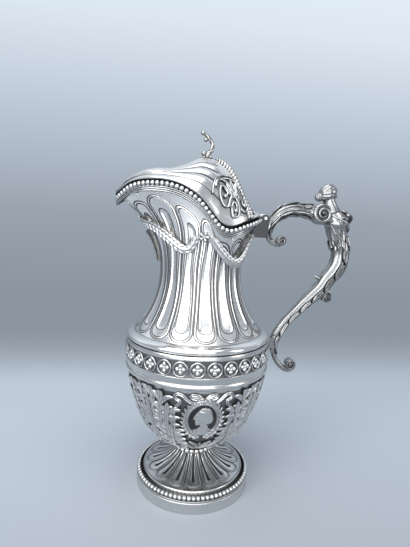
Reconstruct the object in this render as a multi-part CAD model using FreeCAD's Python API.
import FreeCAD, Part
import math
import os

# A lidded silver ewer, in millimetres. +Z is up and the origin is the middle of the foot's resting face.
# The spout points along -X, the handle along +X, and the two sides mirror each other across Y = 0.

Vec = FreeCAD.Vector
origin = Vec(0, 0, 0)
up = Vec(0, 0, 1)
sideways = Vec(0, 1, 0)
full_turn = 360

# Sheet, seats and running fits
wall = 1.2
seat_gap = 0.05
lid_gap = 0.3
pin_gap = 0.05
knuckle_gap = 0.3
overrun = 5.0
sew_tolerance = 0.002

# Pearls are strung so that neighbours just run into each other
pearl_overlap_share = 1.03
pearl_gap = 0.15

# Foot: plain band, pearl ring, cove ring and lobed dome
foot_radius = 52.7
foot_band_height = 9.7
foot_band_wall = 2.2
foot_edge_round = 0.6
foot_step_height = 1.4
foot_step_inset = 0.9
foot_shelf_width = 10.5
foot_pearl_inset = 2.4
foot_pearl_count = 80
foot_cove_width = 5.5
foot_cove_height = 5.5
foot_ledge_share = 0.74
foot_cove_shares = ((1, 0), (1, 0.2), (0.8, 0.4), (0.72, 0.72), (0.68, 0.92), (0.58, 1), (0.48, 0.96))
foot_dome_height = 15.4
foot_dome_shares = (
    (0, 1, 0), (0.3, 0.72, 0.1), (0.58, 0.42, 0.32), (0.8, 0.18, 0.62), (0.93, 0.05, 0.87), (1, 0, 1))
foot_lobe_count = 16
foot_lobe_depth = 0.8
lobe_points = 8
dome_rows = 14

# Stem: collar with its pearl ring, and the stud that holds foot and bowl together
stem_radius = 15.0
stem_flange_height = 0.65
stem_pearl_circle = 17.3
stem_pearl_count = 25
stem_tenon_depth = 3.0
stud_radius = 3.0
stud_tail = 9.0
washer_radius = 9.0
washer_thickness = 1.2
nut_across = 11.0
nut_height = 4.0
hex_sides = 6

# Bowl, as shares of its height and of its swell from bottom to belt
bowl_bottom_radius = 15.5
bowl_top_radius = 61.6
bowl_height = 75.2
bowl_floor = 2.2
bowl_shares = (
    (0, 0), (0.039, 0.1), (0.112, 0.26), (0.225, 0.492), (0.345, 0.652),
    (0.492, 0.77), (0.665, 0.87), (0.851, 0.957), (1, 1))
bowl_rows = 21

# Acanthus raised out of the bowl. Each quarter holds one leaf, whose two fans of fingers mirror each other
# across its axis. A finger is given by where it leaves the stem and where its tip lies, as shares of half
# the leaf's spread, and by its reach up the bowl. An upright leaf stands under the spout and the handle.
leaf_relief = 1.5
leaf_axis_share = 0.478
leaf_spread_share = 0.336
leaf_finger_shares = (
    (0, 0, 0.88), (0.053, 0.152, 0.95), (0.182, 0.397, 0.945), (0.325, 0.579, 0.87), (0.47, 0.689, 0.79),
    (0.613, 0.795, 0.665), (0.755, 0.907, 0.49), (0.88, 1, 0.32))
leaf_bend_power = 1.5
leaf_root_share = 0.3
leaf_tip_share = 0.08
upright_leaf_share = 0.9

# Medallions on both flanks of the bowl
medallion_height_share = 0.592
medallion_half_width = 11.5
medallion_half_height = 11.4
medallion_thickness = 1.1
wreath_width = 3.4
wreath_thickness = 1.9
bow_height_share = 0.862
bow_half_width = 13.0
bow_half_height = 5.0
bow_thickness = 1.2
bow_shares = (
    (0, 0.3), (0.25, 0.95), (0.7, 1), (1, 0.55), (0.75, 0.05),
    (0.95, -0.7), (0.7, -1), (0.4, -0.35), (0, -0.4))

# Belt with its fillet, circles and flowers
belt_height = 27.2
belt_proud = 2.1
belt_wall = 3.0
belt_fillet_height = 4.6
belt_fillet_proud = 0.9
belt_fillet_depth = 1.6
fillet_shares = ((0, 0), (0.6, 0), (0.9, 0.2), (1, 0.45), (0.9, 0.75), (0.55, 1), (0, 1))
belt_repeat_count = 30
belt_circle_radius = 5.9
belt_circle_wire = 0.7
belt_motif_share = 0.54
flower_petal_radius = 2.0
flower_petal_reach = 2.2
flower_eye_radius = 1.5
flower_petals = 4
flower_sink_share = 0.45

# Shoulder ring between belt and neck
shoulder_height = 6.75
shoulder_proud = 2.5
shoulder_shares = ((0, 0.79), (0.39, 1), (0.76, 0.81), (0.95, 0.32), (1, 0))

# Neck and mouth. The mouth is an egg in plan whose edge rises and falls as a wave along its length.
neck_bottom_radius = 56.8
waist_radius = 36.0
waist_height = 52.6
neck_swell_power = 2.1
mouth_front = 75.0
mouth_back = 50.0
mouth_half_width = 41.5
mouth_egg_share = 0.25
trough_height = 39.5
wave_height = 34.4
wave_shares = (
    (0, 0.654), (0.104, 0.921), (0.24, 1), (0.392, 0.927), (0.528, 0.66),
    (0.624, 0.285), (0.68, 0.064), (0.744, 0), (0.84, 0.108), (1, 0.305))
flare_power = 2.2
flare_power_swing = 0.3
flute_count = 16
flute_depth = 1.0
flute_points = 8
lean_shares = (
    (0, 0), (0.25, 0.13), (0.375, -0.11), (0.625, -0.42), (0.75, -0.17), (0.844, 0), (1, 0))
lean_end_share = 0.6
neck_rows_below = 9
neck_rows_above = 11

# Rim: pearls just under the edge, then three reeds
rim_pearl_pitch = 4.05
rim_pearl_drop = 2.35
rim_seat = 0.12
rim_reed_start = 5.2
rim_reed_width = 0.95
rim_reed_count = 3
rim_reed_proud = 1.2
rim_reed_valley = 0.5
hinge_bare_half_width = 11.0

# Garlands: two swags on each flank, from the knot under the spout over the side knot to the bracket
garland_radius = 2.4
garland_end_share = 0.6
garland_points = 17
front_knot_rise = 4.0
side_knot_drop = 8.5
back_end_drop = 5.5
front_sag = 13.5
front_sag_power = 2.6
back_sag = 22.0
back_sag_power = 1.0
drop_length = 34.0
drop_points = 9
knot_radius = 3.4
knot_thickness = 1.8
cord_points = 10

# Lid
lid_wall = 1.1
lid_rise = 36.0
lid_overhang = 0.8
lid_shell_inset = 0.6
lid_flange_width = 3.6
lid_flange_thickness = 1.3
lid_seat = 0.12
bezel_gap = 0.7
bezel_wall = 0.8
bezel_drop = 3.2
dome_power = 0.7
ridge_shares = (
    (0, 0.115), (0.088, 0.403), (0.184, 0.589), (0.272, 0.661), (0.36, 0.675),
    (0.464, 0.79), (0.568, 0.958), (0.648, 0.95), (0.712, 0.87), (0.762, 0.755),
    (0.818, 0.445), (0.862, 0.155), (0.91, -0.095), (0.944, -0.22), (1, -0.24))
lid_row_shares = (1, 0.985, 0.94, 0.86, 0.76, 0.64, 0.51, 0.38, 0.25, 0.12, 0)
lid_columns = 31

# Ornament on the lid
ornament_seat = 0.25
ornament_thickness = 1.6
arch_half_width = 2.6
arch_steps = 16
arch_path_shares = ((-1, 0.82), (-0.7, 0.77), (-0.36, 0.7), (0, 0.63), (0.36, 0.7), (0.7, 0.77), (1, 0.82))
arch_reach_share = 0.8
leaf_start_share = 0.68
leaf_end_share = 0.955
leaf_half_width = 9.0
leaf_width_shares = ((0, 0.5), (0.3, 1), (0.7, 0.75), (1, 0.35))
leaf_steps = 12
plate_steps = 6
lid_scroll_share = 0.775
lid_scroll_level_share = 0.86
lid_scroll_radius = 5.5
lid_scroll_eye_share = 0.3
lid_scroll_turns = 1.25
lid_scroll_wire = 1.1
lid_scroll_points = 22

# Finial on the lid
finial_share = 0.612
finial_rosette_radius = 5.0
finial_rosette_height = 2.6
rosette_shares = ((0.55, 0), (1, 0.35), (0.8, 0.7), (0.4, 1), (0, 1))
finial_height = 16.4
finial_sway = 7.0
finial_stem_radius = 1.5
finial_stem_shares = (
    (0, 0.2, 1.2), (0.22, 0.58, 1), (0.5, 0.64, 0.9), (0.8, 0.17, 0.85), (1, -0.36, 0.8))
finial_knob_radius = 1.8
finial_knob_place_shares = ((1.06, -0.55, 1), (0.72, -0.2, 0.9), (0.02, -0.38, 1.1))
finial_screw_radius = 1.5
finial_screw_tail = 6.0
finial_nut_radius = 3.6
finial_nut_height = 2.2

# Hinge behind the mouth
hinge_back = 4.8
hinge_drop = 1.9
knuckle_radius = 3.0
pin_radius = 1.3
lid_knuckle_half = 4.0
hinge_half_width = 9.0
pin_head = 0.6
strap_thickness = 2.2
bracket_height = 13.8
bracket_depth = 18.0
bracket_back = 3.2
bracket_clear = 0.3

# Handle, in shares of the stretch from its lug on the belt up to the bracket, of its reach
# and of its thickness
lug_length = 5.0
lug_half_height = 5.0
lug_half_width = 4.0
lug_height_share = 0.72
handle_reach = 84.0
handle_thickness = 10.0
handle_top_share = 0.48
limb_width_share = 0.95
upper_scroll_shares = (
    (0.922, 0.161, 0.13), (0.897, 0.177, 0.16), (0.876, 0.145, 0.19), (0.884, 0.092, 0.23),
    (0.917, 0.046, 0.27), (0.97, 0.027, 0.3), (1.029, 0.038, 0.33), (1.08, 0.077, 0.37),
    (1.128, 0.138, 0.44), (1.165, 0.212, 0.5), (1.185, 0.298, 0.53), (1.185, 0.393, 0.54),
    (1.177, 0.47, 0.56), (1.168, 0.534, 0.62))
spine_shares = (
    (1.229, 0.762, 0.42), (1.181, 0.774, 0.65), (1.114, 0.807, 1.1), (1.067, 0.809, 1.13),
    (1.024, 0.803, 0.97), (0.952, 0.822, 0.88), (0.881, 0.837, 0.82), (0.805, 0.83, 0.74),
    (0.729, 0.81, 0.76), (0.662, 0.76, 0.72), (0.59, 0.68, 0.67), (0.515, 0.61, 0.62),
    (0.439, 0.511, 0.56), (0.373, 0.415, 0.49), (0.303, 0.324, 0.43), (0.253, 0.256, 0.39),
    (0.19, 0.18, 0.38), (0.121, 0.115, 0.4), (0.059, 0.064, 0.38), (-0.007, 0.034, 0.32),
    (-0.06, 0.029, 0.26), (-0.129, 0.043, 0.23), (-0.2, 0.088, 0.24), (-0.248, 0.152, 0.24),
    (-0.261, 0.216, 0.22), (-0.232, 0.267, 0.2), (-0.194, 0.265, 0.18), (-0.187, 0.228, 0.16),
    (-0.211, 0.206, 0.13))
torso_stations = 7
grip_stations = 21
bud_shares = ((0.481, 0.599, 0.3), (0.452, 0.643, 0.43), (0.419, 0.676, 0.39), (0.387, 0.696, 0.16))
spur_shares = ((0.586, 0.601, 0.22), (0.602, 0.569, 0.18), (0.615, 0.537, 0.08))
shoulder_scroll_place_share = (1.158, 0.614)
shoulder_scroll_radius = 8.4
shoulder_scroll_half_width = 6.0
shoulder_eye_radius = 4.0
shoulder_eye_proud = 1.4
head_place_share = (1.333, 0.716)
head_radius = 8.6
head_height_share = 1.06
bun_place_share = (1.305, 0.612)
bun_radius = 4.2
limb_rows_per_station = 4
limb_points = 12
cap_shares = ((0.4, 0.92), (0.75, 0.66), (0.95, 0.32), (1, 0.1))

# Heights and radii that follow from the sizes above
foot_step_z = foot_band_height + foot_step_height
foot_pearl_circle = foot_radius - foot_pearl_inset
foot_pearl_radius = foot_pearl_circle * math.sin(math.pi / foot_pearl_count) * pearl_overlap_share
cove_outer = foot_pearl_circle - foot_pearl_radius - pearl_gap
ledge_z = foot_step_z + foot_ledge_share * foot_cove_height
dome_edge_z = ledge_z + wall + foot_lobe_depth + seat_gap
dome_edge_radius = cove_outer - foot_cove_width * (1 - foot_cove_shares[-1][0]) - pearl_gap
dome_top_z = dome_edge_z + foot_dome_height
collar_z = dome_top_z + seat_gap
stem_pearl_radius = stem_pearl_circle * math.sin(math.pi / stem_pearl_count) * pearl_overlap_share
stem_core_radius = stem_pearl_circle - stem_pearl_radius - pearl_gap
stem_pearl_z = collar_z + stem_flange_height + stem_pearl_radius + seat_gap
bowl_z = stem_pearl_z + stem_pearl_radius + pearl_gap
belt_z = bowl_z + bowl_height + seat_gap
belt_radius = bowl_top_radius + belt_proud
shoulder_z = belt_z + belt_height + seat_gap
neck_z = shoulder_z + shoulder_height + seat_gap
waist_z = neck_z + waist_height
trough_z = waist_z + trough_height
spout_z = trough_z + wave_shares[0][1] * wave_height
back_z = trough_z + wave_shares[-1][1] * wave_height
mouth_length = mouth_front + mouth_back
mouth_middle = (mouth_back - mouth_front) / 2
lid_base_lift = lid_gap + lid_flange_thickness + lid_seat
hinge_x = mouth_back + hinge_back
hinge_z = back_z - hinge_drop
bracket_x = mouth_back + hinge_back + bracket_back
bracket_z = hinge_z - knuckle_radius - lid_gap - bracket_height
lug_x = belt_radius + lug_length
lug_z = belt_z + lug_height_share * belt_height
handle_top_z = bracket_z + handle_top_share * bracket_height


def smooth(table):
    """A smooth function through (place, value) pairs; the slope at each pair follows its neighbours."""
    places = [place for place, value in table]
    values = [value for place, value in table]
    last = len(table) - 1
    slopes = []
    for i in range(last + 1):
        before = max(i - 1, 0)
        after = min(i + 1, last)
        slopes.append((values[after] - values[before]) / (places[after] - places[before]))

    def value_at(place):
        i = 0
        while i < last - 1 and place > places[i + 1]:
            i += 1
        span = places[i + 1] - places[i]
        t = (place - places[i]) / span
        start = (1 + 2 * t) * (1 - t) ** 2 * values[i] + t * (1 - t) ** 2 * span * slopes[i]
        return start + t * t * (3 - 2 * t) * values[i + 1] - t * t * (1 - t) * span * slopes[i + 1]

    return value_at


def inset(run, depth):
    """Move each (radius, height) point of a run square to the run, into the hollow side, by depth."""
    moved = []
    for i, (radius, height) in enumerate(run):
        before = run[max(i - 1, 0)]
        after = run[min(i + 1, len(run) - 1)]
        length = math.hypot(after[0] - before[0], after[1] - before[1])
        moved.append((
            radius - depth * (after[1] - before[1]) / length,
            height + depth * (after[0] - before[0]) / length))
    return moved


def run_edge(run):
    """A straight edge through two profile points, or a smooth one through more."""
    points = [Vec(radius, 0, height) for radius, height in run]
    if len(points) == 2:
        return Part.makeLine(points[0], points[1])
    curve = Part.BSplineCurve()
    curve.interpolate(points)
    return curve.toShape()


def turned(*runs):
    """A solid of revolution about Z whose half section is closed by the runs in turn."""
    face = Part.Face(Part.Wire([run_edge(run) for run in runs]))
    return face.revolve(origin, up, full_turn)


def turned_polygon(points):
    """A solid of revolution about Z with a straight-sided half section."""
    corners = [Vec(radius, 0, height) for radius, height in points]
    face = Part.Face(Part.makePolygon(corners + corners[:1]))
    return face.revolve(origin, up, full_turn)


def disc(radius, low, high):
    """An upright round bar on the axis of the ewer."""
    return Part.makeCylinder(radius, high - low, Vec(0, 0, low))


def settled(points, closed):
    """Push a list of poles out so that the curve they control runs through the points given."""
    count = len(points)
    poles = []
    for i, point in enumerate(points):
        if not closed and (i == 0 or i == count - 1):
            poles.append(point)
            continue
        bend = points[i - 1] + points[(i + 1) % count] - point * 2
        poles.append(point - bend * (1 / 6))
    return poles


def clamped_knots(count, degree):
    """Knots and their multiplicities for an open direction of a surface."""
    spans = count - degree
    return list(range(spans + 1)), [degree + 1] + [1] * (spans - 1) + [degree + 1]


def ring_knots(count):
    """Knots and their multiplicities for a direction that closes on itself."""
    return list(range(count + 1)), [1] * (count + 1)


def skin(rows, straight=False):
    """A face over closed rings of points, smooth from ring to ring or straight between two of them."""
    poles = [settled(row, True) for row in rows]
    degree = 1 if straight else 3
    if not straight:
        columns = [settled(list(column), False) for column in zip(*poles)]
        poles = [list(row) for row in zip(*columns)]
    knots, mults = clamped_knots(len(poles), degree)
    ring, ring_mults = ring_knots(len(poles[0]))
    surface = Part.BSplineSurface()
    surface.buildFromPolesMultsKnots(poles, mults, ring_mults, knots, ring, False, True, degree, 3)
    return surface.toShape()


def patch(rows, straight=False):
    """A four-sided face over open rows of points."""
    poles = [settled(row, False) for row in rows]
    degree = 1 if straight else 3
    if not straight:
        columns = [settled(list(column), False) for column in zip(*poles)]
        poles = [list(row) for row in zip(*columns)]
    knots, mults = clamped_knots(len(poles), degree)
    along, along_mults = clamped_knots(len(poles[0]), 3)
    surface = Part.BSplineSurface()
    surface.buildFromPolesMultsKnots(poles, mults, along_mults, knots, along, False, False, degree, 3)
    return surface.toShape()


def end_face(row):
    """The flat face that closes a ring of points."""
    ring, ring_mults = ring_knots(len(row))
    curve = Part.BSplineCurve()
    curve.buildFromPolesMultsKnots(settled(row, True), ring_mults, ring, True, 3)
    return Part.Face(Part.Wire(curve.toShape()))


def sewn(faces):
    """One closed solid from faces that share their edges."""
    shell = Part.makeShell(faces)
    shell.sewShape(sew_tolerance)
    solid = Part.makeSolid(shell if shell.ShapeType == "Shell" else shell.Shells[0])
    if solid.Volume < 0:
        solid.reverse()
    return solid


def band(rows):
    """A ring-shaped solid whose section is the polygon of the rows, taken round in order."""
    return sewn([skin([rows[i - 1], rows[i]], True) for i in range(len(rows))])


def tube_wall(outer, inner):
    """A ring-shaped sheet between an outer and an inner set of rings."""
    return sewn([
        skin(outer), skin(inner),
        skin([outer[0], inner[0]], True), skin([outer[-1], inner[-1]], True)])


def angles(count):
    """Equal steps once round, starting from the back."""
    return [2 * math.pi * i / count for i in range(count)]


def pearl_string(centres, radius):
    """Pearls fused into one string, each with its poles along the string."""
    pearls = []
    for i, centre in enumerate(centres):
        tangent = centres[(i + 1) % len(centres)] - centres[i - 1]
        pearls.append(Part.makeSphere(radius, centre, tangent))
    return pearls[0].multiFuse(pearls[1:]).Solids[0]


def pearl_ring(circle, height, count, radius):
    """A level ring of pearls."""
    centres = [Vec(circle * math.cos(a), circle * math.sin(a), height) for a in angles(count)]
    return pearl_string(centres, radius)


def cord(path, radii):
    """A round cord with domed ends along a path in space."""
    frames = []
    side = sideways
    for i in range(len(path)):
        tangent = path[min(i + 1, len(path) - 1)] - path[max(i - 1, 0)]
        tangent.normalize()
        side = side - tangent * side.dot(tangent)
        if side.Length < seat_gap:
            side = up - tangent * up.dot(tangent)
        side.normalize()
        frames.append((Vec(tangent), Vec(side), tangent.cross(side)))

    def ring(centre, frame, radius):
        return [
            centre + (frame[1] * math.cos(a) + frame[2] * math.sin(a)) * radius
            for a in angles(cord_points)]

    rows = [ring(centre, frame, radius) for centre, frame, radius in zip(path, frames, radii)]
    for reach, size in cap_shares:
        rows.insert(0, ring(path[0] - frames[0][0] * radii[0] * reach, frames[0], radii[0] * size))
        rows.append(ring(path[-1] + frames[-1][0] * radii[-1] * reach, frames[-1], radii[-1] * size))
    return sewn([skin(rows), end_face(rows[0]), end_face(rows[-1])])


def largest(shape):
    """The biggest solid of a cut shape."""
    return max(shape.Solids, key=lambda solid: solid.Volume)


def mirrored(shape):
    """The same piece on the other flank."""
    return shape.mirror(origin, sideways)


# Foot


def foot_band():
    """Plain upright band with a rounded foot and a shelf for everything above."""
    step = foot_radius - foot_step_inset
    hole = foot_radius - foot_shelf_width
    inner = foot_radius - foot_band_wall
    shelf_z = foot_step_z - foot_band_wall
    return turned_polygon([
        (inner, 0), (foot_radius - foot_edge_round, 0), (foot_radius, foot_edge_round),
        (foot_radius, foot_band_height - foot_edge_round),
        (foot_radius - foot_edge_round, foot_band_height),
        (step, foot_band_height), (step, foot_step_z), (hole, foot_step_z),
        (hole, shelf_z), (inner, shelf_z)])


def foot_pearls():
    """Pearl ring that lies on the shelf of the band."""
    height = foot_step_z + foot_pearl_radius + seat_gap
    return pearl_ring(foot_pearl_circle, height, foot_pearl_count, foot_pearl_radius)


def foot_cove_ring():
    """Hollow moulding with a ledge that carries the edge of the dome."""
    inner = cove_outer - foot_cove_width
    points = [(inner, foot_step_z)]
    for across_share, height_share in foot_cove_shares:
        points.append((
            inner + across_share * foot_cove_width,
            foot_step_z + height_share * foot_cove_height))
    points.append((dome_edge_radius + pearl_gap, ledge_z))
    points.append((inner, ledge_z))
    return turned_polygon(points)


def foot_dome():
    """Lobed trumpet of sheet, rising from the cove ring to the stem."""
    across = smooth([(along, radius) for along, radius, rise in foot_dome_shares])
    rise = smooth([(along, height) for along, radius, height in foot_dome_shares])
    run = []
    for i in range(dome_rows):
        along = i / (dome_rows - 1)
        run.append((
            stem_radius + across(along) * (dome_edge_radius - stem_radius),
            dome_edge_z + rise(along) * foot_dome_height))
    steps = angles(foot_lobe_count * lobe_points)

    def rings(depth):
        rows = [[] for point in run]
        for a in steps:
            lobe = foot_lobe_depth * math.cos(foot_lobe_count * a) / 2
            for i, row in enumerate(rows):
                along = i / (dome_rows - 1)
                fade = math.sin(math.pi * along) ** 2
                radius, height = inset(run, depth - lobe * fade)[i]
                row.append(Vec(radius * math.cos(a), radius * math.sin(a), height))
        return rows

    return tube_wall(rings(0), rings(wall))


def stem_collar():
    """Turned collar on the dome, with a tenon into the foot and a bore for the stud."""
    flange_z = collar_z + stem_flange_height
    tenon = stem_radius - wall - foot_lobe_depth
    bore = stud_radius + pin_gap
    return turned_polygon([
        (bore, collar_z - stem_tenon_depth), (tenon, collar_z - stem_tenon_depth), (tenon, collar_z),
        (stem_pearl_circle, collar_z), (stem_pearl_circle, flange_z), (stem_core_radius, flange_z),
        (stem_core_radius, bowl_z - seat_gap), (bore, bowl_z - seat_gap)])


def stem_pearls():
    """Pearl ring between the collar's flange and the bowl."""
    return pearl_ring(stem_pearl_circle, stem_pearl_z, stem_pearl_count, stem_pearl_radius)


washer_z = collar_z - stem_tenon_depth - washer_thickness - seat_gap
nut_z = washer_z - nut_height - seat_gap


def foot_stud():
    """Threaded stud under the bowl."""
    return disc(stud_radius, collar_z - stem_tenon_depth - stud_tail, bowl_z - seat_gap)


def foot_washer():
    """Washer that spreads the nut's pull over the collar's tenon."""
    plate = disc(washer_radius, washer_z, washer_z + washer_thickness)
    return plate.cut(disc(stud_radius + pin_gap, washer_z - overrun, washer_z + overrun))


def foot_nut():
    """Hexagon nut on the stud, inside the hollow foot."""
    reach = nut_across / 2 / math.cos(math.pi / hex_sides)
    corners = [Vec(reach * math.cos(a), reach * math.sin(a), nut_z) for a in angles(hex_sides)]
    body = Part.Face(Part.makePolygon(corners + corners[:1])).extrude(up * nut_height)
    return body.cut(disc(stud_radius + pin_gap, nut_z - overrun, nut_z + nut_height + overrun))


# Bowl and what is set on it


bowl_swell = smooth(bowl_shares)


def eased(share):
    """0 up to a share of 0, 1 from a share of 1, and a smooth rise between."""
    share = min(max(share, 0), 1)
    return share * share * (3 - 2 * share)


def bowl_run(proud):
    """Outline of the bowl, moved out by proud."""
    swell = bowl_top_radius - bowl_bottom_radius
    run = []
    for i in range(bowl_rows):
        height = i / (bowl_rows - 1)
        run.append((bowl_bottom_radius + bowl_swell(height) * swell, bowl_z + height * bowl_height))
    return inset(run, -proud)


def leaf_lines():
    """Crests of the leaves over a quarter turn as (turn at the stem, turn at the tip, reach)."""
    quarter = math.pi / 2
    axis = leaf_axis_share * quarter
    spread = leaf_spread_share * quarter
    ahead = [(axis + stem * spread, axis + tip * spread, reach) for stem, tip, reach in leaf_finger_shares]
    behind = [(2 * axis - stem, 2 * axis - tip, reach) for stem, tip, reach in ahead[:0:-1]]
    return [(0, 0, upright_leaf_share)] + behind + ahead + [(quarter, quarter, 0)]


def leaf_quarter(height):
    """Turns and reliefs over a quarter turn at a share of the bowl's height: crests with ground between."""
    crests = []
    for stem, tip, reach in leaf_lines():
        run = min(height / reach, 1) if reach else 1
        relief = eased(height / leaf_root_share) * eased((reach - height) / leaf_tip_share)
        crests.append((stem + (tip - stem) * run ** leaf_bend_power, relief * leaf_relief))
    stops = crests[:1]
    for before, after in zip(crests, crests[1:]):
        stops.append(((before[0] + after[0]) / 2, 0))
        stops.append(after)
    return stops


def bowl_rings(depth):
    """Rings of points up the bowl with its leaves in relief, at a depth into its sheet."""
    rings = []
    for i in range(bowl_rows):
        first = leaf_quarter(i / (bowl_rows - 1))
        half = first + [(math.pi - turn, relief) for turn, relief in first[-2::-1]]
        stops = half + [(2 * math.pi - turn, relief) for turn, relief in half[-2:0:-1]]
        ring = []
        for turn, relief in stops:
            radius, height = bowl_run(relief - depth)[i]
            ring.append(Vec(radius * math.cos(turn), radius * math.sin(turn), height))
        rings.append(ring)
    return rings


def level_ring(radius, height, like):
    """A level ring with as many points as another, at the same turns."""
    turns = [math.atan2(point.y, point.x) for point in like]
    return [Vec(radius * math.cos(turn), radius * math.sin(turn), height) for turn in turns]


def bowl():
    """Raised bowl of sheet with a flat bottom, and leaves chased out of its side from within."""
    outer = bowl_rings(0)
    inner = bowl_rings(wall)
    inner[0] = level_ring(bowl_bottom_radius + wall, bowl_z + bowl_floor, inner[0])
    inner[-1] = level_ring(bowl_top_radius - wall, bowl_z + bowl_height, inner[-1])
    return sewn([
        skin(outer), end_face(outer[0]), skin(inner), end_face(inner[0]), skin([outer[-1], inner[-1]], True)])


def bowl_skin(thickness):
    """A sheet laid over the bowl, from which applied ornament is cut."""
    near = bowl_run(seat_gap)[1:]
    far = bowl_run(seat_gap + thickness)[1:]
    return turned(near, [near[-1], far[-1]], far[::-1], [far[0], near[0]])


def oval_bar(half_width, half_height, height):
    """A bar with an oval section that runs from the axis out of the near flank."""
    centre = Vec(0, 0, height)
    tall = half_height >= half_width
    long_end = Vec(0, 0, height + half_height) if tall else Vec(half_width, 0, height)
    short_end = Vec(half_width, 0, height) if tall else Vec(0, 0, height + half_height)
    if half_width == half_height:
        rim = Part.Circle(centre, sideways, half_width)
    else:
        rim = Part.Ellipse(long_end, short_end, centre)
    face = Part.Face(Part.Wire(rim.toShape()))
    return face.extrude(Vec(0, -bowl_top_radius - overrun, 0))


medallion_z = bowl_z + medallion_height_share * bowl_height
bow_z = bowl_z + bow_height_share * bowl_height


def medallion_plaque():
    """Oval plaque that follows the flank of the bowl."""
    outline = oval_bar(medallion_half_width, medallion_half_height, medallion_z)
    return bowl_skin(medallion_thickness).common(outline)


def medallion_wreath():
    """Leaf wreath that frames the plaque."""
    outer = oval_bar(medallion_half_width + wreath_width, medallion_half_height + wreath_width, medallion_z)
    inner = oval_bar(medallion_half_width + seat_gap, medallion_half_height + seat_gap, medallion_z)
    return bowl_skin(wreath_thickness).common(outer.cut(inner))


def medallion_bow():
    """Ribbon bow over the wreath."""
    right = [Vec(x * bow_half_width, 0, bow_z + z * bow_half_height) for x, z in bow_shares]
    left = [Vec(-point.x, 0, point.z) for point in right[-2:0:-1]]
    outline = Part.Face(Part.makePolygon(right + left + right[:1]))
    bar = outline.extrude(Vec(0, -bowl_top_radius - overrun, 0))
    clear = wreath_width + seat_gap
    wreath = oval_bar(medallion_half_width + clear, medallion_half_height + clear, medallion_z)
    return bowl_skin(bow_thickness).common(bar.cut(wreath))


# Belt and shoulder


def belt_band():
    """Upright belt that joins bowl and neck, stepped in at its foot for the fillet."""
    inner = belt_radius - belt_wall
    step = belt_radius - belt_fillet_depth
    fillet_z = belt_z + belt_fillet_height + seat_gap
    return turned_polygon([
        (inner, belt_z), (step, belt_z), (step, fillet_z), (belt_radius, fillet_z),
        (belt_radius, belt_z + belt_height), (inner, belt_z + belt_height)])


def belt_fillet():
    """Half-round ring round the foot of the belt."""
    inner = belt_radius - belt_fillet_depth + seat_gap
    depth = belt_fillet_depth + belt_fillet_proud
    return turned_polygon([
        (inner + across * depth, belt_z + height * belt_fillet_height)
        for across, height in fillet_shares])


belt_motif_z = belt_z + belt_fillet_height + belt_motif_share * (belt_height - belt_fillet_height)


def round_belt(shape):
    """One copy of a motif for each repeat of the belt but the one that the handle's lug covers."""
    copies = []
    for i in range(1, belt_repeat_count):
        copy = shape.copy()
        copy.rotate(origin, up, full_turn * i / belt_repeat_count)
        copies.append(copy)
    return Part.makeCompound(copies)


def belt_circles():
    """Wire circles, edge to edge round the belt."""
    centre = Vec(belt_radius + belt_circle_wire + seat_gap, 0, belt_motif_z)
    return round_belt(Part.makeTorus(belt_circle_radius, belt_circle_wire, centre, Vec(1, 0, 0)))


def belt_flowers():
    """Four-petalled flowers, one in each circle."""
    eye = Part.makeSphere(flower_eye_radius, Vec(belt_radius + flower_eye_radius / 2, 0, belt_motif_z))
    petals = []
    for a in angles(flower_petals):
        turn = a + math.pi / flower_petals
        petals.append(Part.makeSphere(flower_petal_radius, Vec(
            belt_radius - flower_sink_share * flower_petal_radius,
            flower_petal_reach * math.cos(turn),
            belt_motif_z + flower_petal_reach * math.sin(turn))))
    flower = eye.multiFuse(petals).cut(disc(belt_radius + seat_gap, belt_z, belt_z + belt_height))
    return round_belt(flower)


def shoulder_ring():
    """Rolled ring from the belt over to the foot of the neck."""
    depth = belt_radius + shoulder_proud - belt_proud - neck_bottom_radius
    outer = [
        (neck_bottom_radius + across * depth, shoulder_z + height * shoulder_height)
        for height, across in shoulder_shares]
    inner = inset(outer, wall)
    inner[0] = (outer[0][0] - wall, shoulder_z)
    inner[-1] = (neck_bottom_radius - wall, outer[-1][1])
    return turned(outer, [outer[-1], inner[-1]], inner[::-1], [inner[0], outer[0]])


# Neck, mouth and rim

wave_rise = smooth(wave_shares)
ridge_rise = smooth(ridge_shares)


def along_mouth(x):
    """Where x lies along the mouth, from 0 at the spout to 1 at the back."""
    return min(max((x + mouth_front) / mouth_length, 0), 1)


def rim_height(x):
    """Height of the mouth's edge over x."""
    return trough_z + wave_height * wave_rise(along_mouth(x))


def mouth_plan(turn, grow):
    """Plan of the mouth at a turn from the back, moved out by grow."""
    x = mouth_middle + (mouth_length / 2 + grow) * math.cos(turn)
    y = (mouth_half_width + grow) * math.sin(turn) * (1 + mouth_egg_share * math.cos(turn))
    return x, y


def neck_point(turn, rise, grow):
    """Upper neck, which flares along each meridian from the round waist (rise 0) to the edge (rise 1)."""
    x, y = mouth_plan(turn, grow)
    edge = rim_height(x)
    waist = waist_radius + grow
    out = rise ** (flare_power - flare_power_swing * math.cos(turn))
    return Vec(
        waist * math.cos(turn) + (x - waist * math.cos(turn)) * out,
        waist * math.sin(turn) + (y - waist * math.sin(turn)) * out,
        waist_z + (edge - waist_z) * rise)


def lower_neck_point(turn, rise, grow):
    """Lower neck: from the shoulder (rise 0) it draws in to the waist (rise 1)."""
    radius = waist_radius + (neck_bottom_radius - waist_radius) * (1 - rise) ** neck_swell_power + grow
    return Vec(radius * math.cos(turn), radius * math.sin(turn), neck_z + rise * waist_height)


def neck_normal(turn, rise):
    """Outward normal of the upper neck."""
    step = 1 / (flute_count * flute_points)
    low = max(rise - step, 0)
    upward = neck_point(turn, low + step, 0) - neck_point(turn, low, 0)
    around = neck_point(turn + step, rise, 0) - neck_point(turn - step, rise, 0)
    normal = around.cross(upward)
    return normal.normalize()


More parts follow.
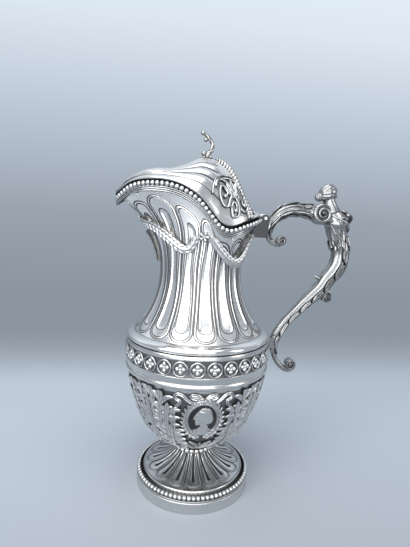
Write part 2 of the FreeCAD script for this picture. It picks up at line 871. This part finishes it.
def below_rim(turn, drop, proud):
    """A point a drop below the mouth's edge along the neck, standing proud of it."""
    step = 1 / (flute_count * flute_points)
    slope = (neck_point(turn, 1, 0) - neck_point(turn, 1 - step, 0)).Length / step
    rise = 1 - drop / slope
    return neck_point(turn, rise, 0) + neck_normal(turn, rise) * proud


lean_at = smooth(lean_shares)


def leaning(turn, rise):
    """Where a line of the flutes stands on the upper neck, as they lean over where the spout swells."""
    from_back = 1 - abs(1 - turn / math.pi)
    way = math.copysign(2 * math.pi / flute_count, math.pi - turn)
    return turn + way * lean_at(from_back) * eased(rise / lean_end_share)


def flute_fade(rise, halves_below):
    """Share of the flutes' depth at a rise, fading to nothing at the shoulder and the rim."""
    return math.sin(math.pi * (rise + halves_below) / 2) ** 2


def neck_rows(grow, fluted):
    """Rings of points up the neck, hollowed into flutes between shoulder and rim."""
    rows = []
    stops = [(lower_neck_point, i / neck_rows_below, 0) for i in range(neck_rows_below)]
    stops += [(neck_point, i / neck_rows_above, 1) for i in range(neck_rows_above + 1)]
    for place, rise, halves_below in stops:
        depth = flute_depth * fluted * flute_fade(rise, halves_below)
        row = []
        for turn in angles(flute_count * flute_points):
            stand = leaning(turn, rise * halves_below)
            row.append(place(stand, rise, grow - depth * math.cos(flute_count * turn) / 2))
        rows.append(row)
    return rows


def neck():
    """Fluted neck of sheet with the spout drawn out of its front."""
    return tube_wall(neck_rows(0, 1), neck_rows(-wall, 1))


def neck_core(grow):
    """The neck filled in, for cutting what is fitted against it."""
    rows = neck_rows(grow, 0)
    top = [Vec(point.x, point.y, trough_z + wave_height) for point in rows[-1]]
    return sewn([skin(rows), skin([rows[-1], top], True), end_face(rows[0]), end_face(top)])


def rim_moulding():
    """Three reeds that follow the mouth's edge below the pearls."""
    section = [(rim_reed_start, rim_seat)]
    drop = rim_reed_start
    for i in range(rim_reed_count):
        section.append((drop, rim_reed_valley))
        section.append((drop + rim_reed_width / 3, rim_reed_proud))
        section.append((drop + 2 * rim_reed_width / 3, rim_reed_proud))
        drop += rim_reed_width
    section.append((drop, rim_reed_valley))
    section.append((drop, rim_seat))
    turns = angles(flute_count * flute_points)
    return band([[below_rim(turn, fall, proud) for turn in turns] for fall, proud in section])


def rim_pearls():
    """Pearls under the mouth's edge, from one side of the hinge round the spout to the other."""
    guess = rim_pearl_pitch * pearl_overlap_share / 2
    trail = []
    for turn in angles(flute_count * flute_points * flute_points):
        point = below_rim(turn, rim_pearl_drop, guess + seat_gap)
        if point.x < 0 or abs(point.y) > hinge_bare_half_width + guess:
            trail.append(point)
    lengths = [0]
    for i in range(1, len(trail)):
        lengths.append(lengths[-1] + (trail[i] - trail[i - 1]).Length)
    count = round(lengths[-1] / rim_pearl_pitch)
    centres = []
    k = 0
    for i in range(count + 1):
        wanted = lengths[-1] * i / count
        while k < len(trail) - 2 and lengths[k + 1] < wanted:
            k += 1
        share = (wanted - lengths[k]) / (lengths[k + 1] - lengths[k])
        centres.append(trail[k] + (trail[k + 1] - trail[k]) * share)
    return pearl_string(centres, lengths[-1] / count * pearl_overlap_share / 2)


def on_neck(turn, height, proud):
    """A point of the upper neck at a height, standing proud of it."""
    x, y = mouth_plan(turn, 0)
    rise = (height - waist_z) / (rim_height(x) - waist_z)
    return neck_point(turn, rise, 0) + neck_normal(turn, rise) * proud


front_knot_z = trough_z + front_knot_rise
side_knot_z = trough_z - side_knot_drop
back_end_z = trough_z - back_end_drop
seat_on_flutes = flute_depth / 2 + seat_gap


def swag(start_turn, end_turn, start_z, end_z, sag, power):
    """One laurel swag on the near flank, thickest in its middle, lowest where the power puts it."""
    path = []
    radii = []
    for k in range(garland_points):
        along = k / (garland_points - 1)
        radius = garland_radius * (garland_end_share + (1 - garland_end_share) * math.sin(math.pi * along))
        height = start_z + (end_z - start_z) * along - sag * math.sin(math.pi * along ** power)
        turn = start_turn + (end_turn - start_turn) * along
        path.append(on_neck(turn, height, radius + seat_on_flutes))
        radii.append(radius)
    return cord(path, radii)


def garland_swags():
    """The swags of both flanks."""
    clear = (knot_radius + garland_radius) / waist_radius
    back = (hinge_half_width + 2 * garland_radius) / waist_radius
    side = 3 * math.pi / 2
    front = swag(math.pi + clear, side - clear, front_knot_z, side_knot_z, front_sag, front_sag_power)
    rear = swag(side + clear, 2 * math.pi - back, side_knot_z, back_end_z, back_sag, back_sag_power)
    return Part.makeCompound([front, rear, mirrored(front), mirrored(rear)])


def garland_knots():
    """Flat rosettes that hold the swags up: one under the spout and one on each flank."""
    knots = []
    side = math.pi / 2
    for turn, height in ((side, side_knot_z), (math.pi, front_knot_z), (3 * side, side_knot_z)):
        x, y = mouth_plan(turn, 0)
        rise = (height - waist_z) / (rim_height(x) - waist_z)
        knots.append(Part.makeCylinder(
            knot_radius, knot_thickness, on_neck(turn, height, seat_on_flutes), neck_normal(turn, rise)))
    return Part.makeCompound(knots)


def garland_drop():
    """Tapering tail of leaves under the front knot."""
    path = []
    radii = []
    top = front_knot_z - knot_radius - 2 * garland_radius
    for k in range(drop_points):
        along = k / (drop_points - 1)
        radius = garland_radius * (1 - (1 - garland_end_share) * along)
        height = top - (drop_length - 2 * garland_radius) * along
        rise = (height - waist_z) / (rim_height(-mouth_front) - waist_z)
        hollow = flute_depth / 2 * flute_fade(rise, 1)
        path.append(on_neck(math.pi, height, radius + seat_gap - hollow))
        radii.append(radius)
    return cord(path, radii)


# Lid


def lid_height(x, y):
    """Height of the lid's outside over a place in its plan."""
    base = rim_height(x) + lid_base_lift
    ridge = spout_z + lid_rise * ridge_rise(along_mouth(x))
    turn = math.acos(min(max((x - mouth_middle) / (mouth_length / 2), -1), 1))
    half = max(mouth_plan(turn, lid_overhang - lid_shell_inset)[1], seat_gap)
    share = min(abs(y) / half, 1)
    return base + (ridge - base) * (1 - share * share) ** dome_power


def lid_sheet_rows(grow, sink):
    """Rows over the near half of the lid, from its edge to its ridge."""
    rows = []
    for share in lid_row_shares:
        row = []
        for i in range(lid_columns):
            x, y = mouth_plan(math.pi * i / (lid_columns - 1), grow)
            base = rim_height(x) + lid_base_lift
            ridge = spout_z + lid_rise * ridge_rise(along_mouth(x)) - sink
            row.append(Vec(x, -abs(y) * share, base + (ridge - base) * (1 - share * share) ** dome_power))
        rows.append(row)
    return rows


def lid_shell():
    """Helmet-shaped lid of sheet, drilled for the finial's screw."""
    outer = lid_sheet_rows(lid_overhang - lid_shell_inset, 0)
    inner = lid_sheet_rows(lid_overhang - lid_shell_inset - lid_wall, lid_wall)
    faces = [patch(outer), patch(inner), patch([outer[0], inner[0]], True)]
    shell = sewn(faces + [mirrored(face) for face in faces])
    return shell.cut(finial_bar(finial_screw_radius + pin_gap, overrun, -2 * overrun))


def edge_band(outer, inner, low, high):
    """A band that follows the mouth in plan and in height."""
    turns = angles(flute_count * flute_points)

    def row(grow, lift):
        ring = []
        for turn in turns:
            x, y = mouth_plan(turn, grow)
            ring.append(Vec(x, y, rim_height(x) + lift))
        return ring

    return band([row(inner, low), row(outer, low), row(outer, high), row(inner, high)])


def lid_flange():
    """Smooth flange round the lid's edge, which rests over the rim."""
    return edge_band(lid_overhang, lid_overhang - lid_flange_width, lid_gap, lid_gap + lid_flange_thickness)


def lid_bezel():
    """Bezel under the flange that follows the inside of the mouth and centres the lid in it."""
    outer = -wall - bezel_gap
    inner = outer - bezel_wall
    turns = angles(flute_count * flute_points)

    def top(grow):
        ring = []
        for turn in turns:
            x, y = mouth_plan(turn, grow)
            ring.append(Vec(x, y, rim_height(x) + lid_gap - lid_seat))
        return ring

    def bottom(grow):
        return [below_rim(turn, bezel_drop, grow) for turn in turns]

    return band([bottom(inner), bottom(outer), top(outer), top(inner)])


def lid_normal(x, y):
    """Outward normal of the lid."""
    step = lid_wall / 2
    slope_x = (lid_height(x + step, y) - lid_height(x - step, y)) / (2 * step)
    slope_y = (lid_height(x, y + step) - lid_height(x, y - step)) / (2 * step)
    return Vec(-slope_x, -slope_y, 1).normalize()


def on_lid(x, y, proud):
    """A point of the lid's outside, standing proud of it."""
    return Vec(x, y, lid_height(x, y)) + lid_normal(x, y) * proud


def lid_plate(places):
    """A plate of ornament laid on the lid over rows of plan places."""
    low = [[on_lid(x, y, ornament_seat) for x, y in row] for row in places]
    high = [[on_lid(x, y, ornament_thickness) for x, y in row] for row in places]
    faces = [patch(low), patch(high)]
    faces.append(patch([low[0], high[0]], True))
    faces.append(patch([low[-1], high[-1]], True))
    for end in (0, -1):
        faces.append(patch([[row[end] for row in low], [row[end] for row in high]], True))
    return sewn(faces)


def lid_arch_band():
    """Raised arch over the lid from flank to flank, just behind the finial."""
    path = smooth(arch_path_shares)
    half = mouth_half_width * arch_reach_share
    rows = []
    for i in range(arch_steps + 1):
        across = 2 * i / arch_steps - 1
        x = path(across) * mouth_length - mouth_front + 2 * arch_half_width + finial_rosette_radius / 2
        row = []
        for k in range(plate_steps + 1):
            row.append((x + arch_half_width * (2 * k / plate_steps - 1), across * half))
        rows.append(row)
    return lid_plate(rows)


def lid_crest_leaf():
    """Leaf down the back of the lid, from the arch to the hinge."""
    width = smooth(leaf_width_shares)
    rows = []
    start = leaf_start_share * mouth_length - mouth_front + 3 * arch_half_width + finial_rosette_radius
    end = leaf_end_share * mouth_length - mouth_front
    for i in range(leaf_steps + 1):
        along = i / leaf_steps
        row = []
        for k in range(plate_steps + 1):
            across = 2 * k / plate_steps - 1
            row.append((start + (end - start) * along, leaf_half_width * width(along) * across))
        rows.append(row)
    return lid_plate(rows)


def lid_scroll():
    """Scroll of wire on the near flank of the lid, over the trough of the rim."""
    middle = lid_scroll_share * mouth_length - mouth_front
    turn = math.acos((middle - mouth_middle) / (mouth_length / 2))
    half = mouth_plan(turn, 0)[1]
    path = []
    for i in range(lid_scroll_points + 1):
        along = i / lid_scroll_points
        reach = lid_scroll_radius * (1 - (1 - lid_scroll_eye_share) * along)
        a = 2 * math.pi * lid_scroll_turns * along
        x = middle + reach * math.cos(a)
        y = -half * lid_scroll_level_share + reach * math.sin(a) / 2
        path.append(on_lid(x, y, lid_scroll_wire + ornament_seat))
    return cord(path, [lid_scroll_wire] * len(path))


# Finial

finial_x = finial_share * mouth_length - mouth_front
finial_z = lid_height(finial_x, 0) + seat_gap
finial_stem_z = finial_z + finial_rosette_height + seat_gap


def finial_bar(radius, above, below):
    """An upright round bar on the finial's axis, measured from the lid's top."""
    return Part.makeCylinder(radius, above - below, Vec(finial_x, 0, finial_z + below))


def finial_rosette():
    """Leafy rosette that the finial grows out of, bored for its screw."""
    points = [Vec(0, 0, 0)]
    for across, height in rosette_shares:
        points.append(Vec(across * finial_rosette_radius, 0, height * finial_rosette_height))
    body = Part.Face(Part.makePolygon(points + points[:1])).revolve(origin, up, full_turn)
    body.translate(Vec(finial_x, 0, finial_z))
    return body.cut(finial_bar(finial_screw_radius + pin_gap, finial_rosette_height + overrun, -overrun))


def finial_stem():
    """Curled stem of the finial."""
    path = []
    radii = []
    heights = smooth([(i, row[0]) for i, row in enumerate(finial_stem_shares)])
    sways = smooth([(i, row[1]) for i, row in enumerate(finial_stem_shares)])
    sizes = smooth([(i, row[2]) for i, row in enumerate(finial_stem_shares)])
    count = (len(finial_stem_shares) - 1) * limb_rows_per_station
    lift = finial_stem_z + finial_stem_shares[0][2] * finial_stem_radius
    for k in range(count + 1):
        i = k / limb_rows_per_station
        path.append(Vec(finial_x + sways(i) * finial_sway, 0, lift + heights(i) * finial_height))
        radii.append(sizes(i) * finial_stem_radius)
    return cord(path, radii)


def finial_knobs():
    """Knob at the stem's tip, a curled leaf's knob beside it and a bud on the rosette."""
    knobs = []
    lift = finial_stem_z + finial_stem_radius
    for height, sway, size in finial_knob_place_shares:
        place = Vec(finial_x + sway * finial_sway, 0, lift + height * finial_height)
        knobs.append(Part.makeSphere(finial_knob_radius * size, place).cut(finial_stem()))
    return Part.makeCompound(knobs)


def finial_screw():
    """Screw from the stem through rosette and lid."""
    return finial_bar(finial_screw_radius, finial_rosette_height - seat_gap, -lid_wall - finial_screw_tail)


def finial_nut():
    """Round nut that draws the finial down from inside the lid."""
    top = -2 * lid_wall - seat_gap
    body = finial_bar(finial_nut_radius, top, top - finial_nut_height)
    return body.cut(finial_bar(finial_screw_radius + pin_gap, overrun, -2 * overrun))


# Hinge


def hinge_bar(radius, low, high):
    """A round bar on the hinge axis between two places across the ewer."""
    return Part.makeCylinder(radius, high - low, Vec(hinge_x, low, hinge_z), sideways)


def hinge_bracket():
    """Bracket behind the rim with two knuckles for the pin; the handle's scroll is let into its back."""
    width = 2 * hinge_half_width
    block = Part.makeBox(bracket_depth, width, bracket_height, Vec(
        bracket_x - bracket_depth, -hinge_half_width, bracket_z))
    ear = hinge_half_width - lid_knuckle_half - knuckle_gap
    pieces = []
    for low in (-hinge_half_width, hinge_half_width - ear):
        pieces.append(hinge_bar(knuckle_radius, low, low + ear))
        pieces.append(Part.makeBox(
            2 * knuckle_radius, ear, knuckle_radius + lid_gap, Vec(
                hinge_x - knuckle_radius, low, hinge_z - knuckle_radius - lid_gap)))
    bracket = block.multiFuse(pieces).cut(hinge_bar(pin_radius + pin_gap, -width, width))
    bracket = bracket.cut(neck_core(rim_reed_proud + bracket_clear))
    return bracket.cut(limb(upper_scroll_shares, seat_gap))


def hinge_pin():
    """Pin through the three knuckles."""
    return hinge_bar(pin_radius, -hinge_half_width - pin_head, hinge_half_width + pin_head)


def lid_knuckle():
    """Middle knuckle on a strap from the lid's flange."""
    start = mouth_back + lid_overhang + seat_gap
    top = back_z + lid_gap + lid_flange_thickness
    strap = Part.makeBox(hinge_x - start, 2 * lid_knuckle_half, strap_thickness, Vec(
        start, -lid_knuckle_half, top - strap_thickness))
    knuckle = hinge_bar(knuckle_radius, -lid_knuckle_half, lid_knuckle_half)
    return knuckle.fuse(strap).cut(hinge_bar(pin_radius + pin_gap, -hinge_half_width, hinge_half_width))


# Handle


def handle_place(height_share, reach_share):
    """A place in the handle's plane, between the lug on the belt and the bracket under the hinge."""
    x = lug_x + (bracket_x - lug_x) * height_share + reach_share * handle_reach
    return Vec(x, 0, lug_z + (handle_top_z - lug_z) * height_share)


def limb_rows(shares, grow):
    """Oval rings through stations of the handle, with a dome of rings at both ends."""
    stations = [handle_place(height, reach) for height, reach, size in shares]
    lengths = [0]
    for i in range(1, len(stations)):
        lengths.append(lengths[-1] + (stations[i] - stations[i - 1]).Length)
    xs = smooth(list(zip(lengths, [place.x for place in stations])))
    zs = smooth(list(zip(lengths, [place.z for place in stations])))
    sizes = smooth(list(zip(lengths, [size * handle_thickness + grow for height, reach, size in shares])))
    stops = []
    for i in range(len(stations) - 1):
        step = (lengths[i + 1] - lengths[i]) / limb_rows_per_station
        stops += [lengths[i] + step * k for k in range(limb_rows_per_station)]
    stops.append(lengths[-1])
    path = [Vec(xs(stop), 0, zs(stop)) for stop in stops]
    last = len(path) - 1

    def ring(centre, tangent, size):
        square = Vec(-tangent.z, 0, tangent.x)
        return [
            centre + square * (size * math.cos(a)) + sideways * (size * limb_width_share * math.sin(a))
            for a in angles(limb_points)]

    tangents = []
    for k in range(last + 1):
        tangent = path[min(k + 1, last)] - path[max(k - 1, 0)]
        tangents.append(tangent.normalize())
    rows = [ring(path[k], tangents[k], sizes(stops[k])) for k in range(last + 1)]
    first = sizes(stops[0])
    tip = sizes(stops[-1])
    for reach, size in cap_shares:
        rows.insert(0, ring(path[0] - tangents[0] * first * reach, tangents[0], first * size))
        rows.append(ring(path[-1] + tangents[-1] * tip * reach, tangents[-1], tip * size))
    return rows


def limb_solid(rows):
    """The solid over a run of rings, closed flat at both ends."""
    return sewn([skin(rows), end_face(rows[0]), end_face(rows[-1])])


def limb(shares, grow):
    """A whole limb of the handle."""
    return limb_solid(limb_rows(shares, grow))


def shoulder_scroll():
    """Drum-shaped scroll where the upper arm meets the figure, with a raised eye on each side."""
    centre = handle_place(*shoulder_scroll_place_share)
    half = shoulder_scroll_half_width
    drum = Part.makeCylinder(shoulder_scroll_radius, 2 * half, centre - sideways * half, sideways)
    half += shoulder_eye_proud
    return drum.fuse(Part.makeCylinder(shoulder_eye_radius, 2 * half, centre - sideways * half, sideways))


def figure_head():
    """Egg-shaped head with its hair gathered in a bun behind."""
    skull = Part.makeSphere(head_radius, handle_place(*head_place_share))
    return skull.fuse(Part.makeSphere(bun_radius, handle_place(*bun_place_share)))


def handle_lug():
    """Lug that holds the lower handle off the belt."""
    reach = lug_length + handle_thickness
    block = Part.makeBox(reach, 2 * lug_half_width, 2 * lug_half_height, Vec(
        belt_radius - handle_thickness / 2, -lug_half_width, lug_z - lug_half_height))
    block = block.cut(disc(belt_radius + seat_gap, belt_z - overrun, shoulder_z + overrun))
    kept = block.cut(limb(spine_shares, seat_gap))
    return min(kept.Solids, key=lambda solid: solid.CenterOfMass.x)


nodes = {}
nodes["foot_band"] = foot_band()
nodes["foot_pearls"] = foot_pearls()
nodes["foot_cove_ring"] = foot_cove_ring()
nodes["foot_dome"] = foot_dome()
nodes["stem_collar"] = stem_collar()
nodes["stem_pearls"] = stem_pearls()
nodes["foot_stud"] = foot_stud()
nodes["foot_washer"] = foot_washer()
nodes["foot_nut"] = foot_nut()
nodes["bowl"] = bowl()
for piece in (medallion_plaque, medallion_wreath, medallion_bow):
    near = piece()
    nodes[piece.__name__ + "_near"] = near
    nodes[piece.__name__ + "_far"] = mirrored(near)
nodes["belt_band"] = belt_band()
nodes["belt_fillet"] = belt_fillet()
nodes["belt_circles"] = belt_circles()
nodes["belt_flowers"] = belt_flowers()
nodes["shoulder_ring"] = shoulder_ring()
nodes["neck"] = neck()
nodes["rim_moulding"] = rim_moulding()
nodes["rim_pearls"] = rim_pearls()
nodes["garland_swags"] = garland_swags()
nodes["garland_knots"] = garland_knots()
nodes["garland_drop"] = garland_drop()
nodes["lid_shell"] = lid_shell()
nodes["lid_flange"] = lid_flange()
nodes["lid_bezel"] = lid_bezel()
nodes["lid_arch_band"] = lid_arch_band()
nodes["lid_crest_leaf"] = lid_crest_leaf()
scroll = lid_scroll()
nodes["lid_scroll_near"] = scroll
nodes["lid_scroll_far"] = mirrored(scroll)
nodes["finial_rosette"] = finial_rosette()
nodes["finial_stem"] = finial_stem()
nodes["finial_knobs"] = finial_knobs()
nodes["finial_screw"] = finial_screw()
nodes["finial_nut"] = finial_nut()
nodes["hinge_bracket"] = hinge_bracket()
nodes["hinge_pin"] = hinge_pin()
nodes["lid_knuckle"] = lid_knuckle()

upper = limb(upper_scroll_shares, 0)
drum = shoulder_scroll()
spine = limb_rows(spine_shares, 0)
waist = len(cap_shares) + torso_stations * limb_rows_per_station
heel = len(cap_shares) + grip_stations * limb_rows_per_station
torso = limb_solid(spine[:waist + 1])
grip = limb_solid(spine[waist:heel + 1])
nodes["handle_upper_scroll"] = largest(upper.cut(drum))
nodes["handle_shoulder_scroll"] = drum
nodes["figure_torso"] = largest(torso.cut(drum))
nodes["figure_head"] = largest(figure_head().cut(torso).cut(drum))
nodes["handle_grip"] = grip
nodes["handle_lower_volute"] = limb_solid(spine[heel:])
nodes["handle_bud"] = largest(limb(bud_shares, 0).cut(grip))
nodes["handle_leaf_spur"] = largest(limb(spur_shares, 0).cut(grip))
nodes["handle_lug"] = handle_lug()

os.makedirs("parts", exist_ok=True)
for name, shape in nodes.items():
    shape.exportStep("parts/" + name + ".step")
    print(name, shape.ShapeType, len(shape.Solids), shape.isValid(), round(shape.Volume, 1))
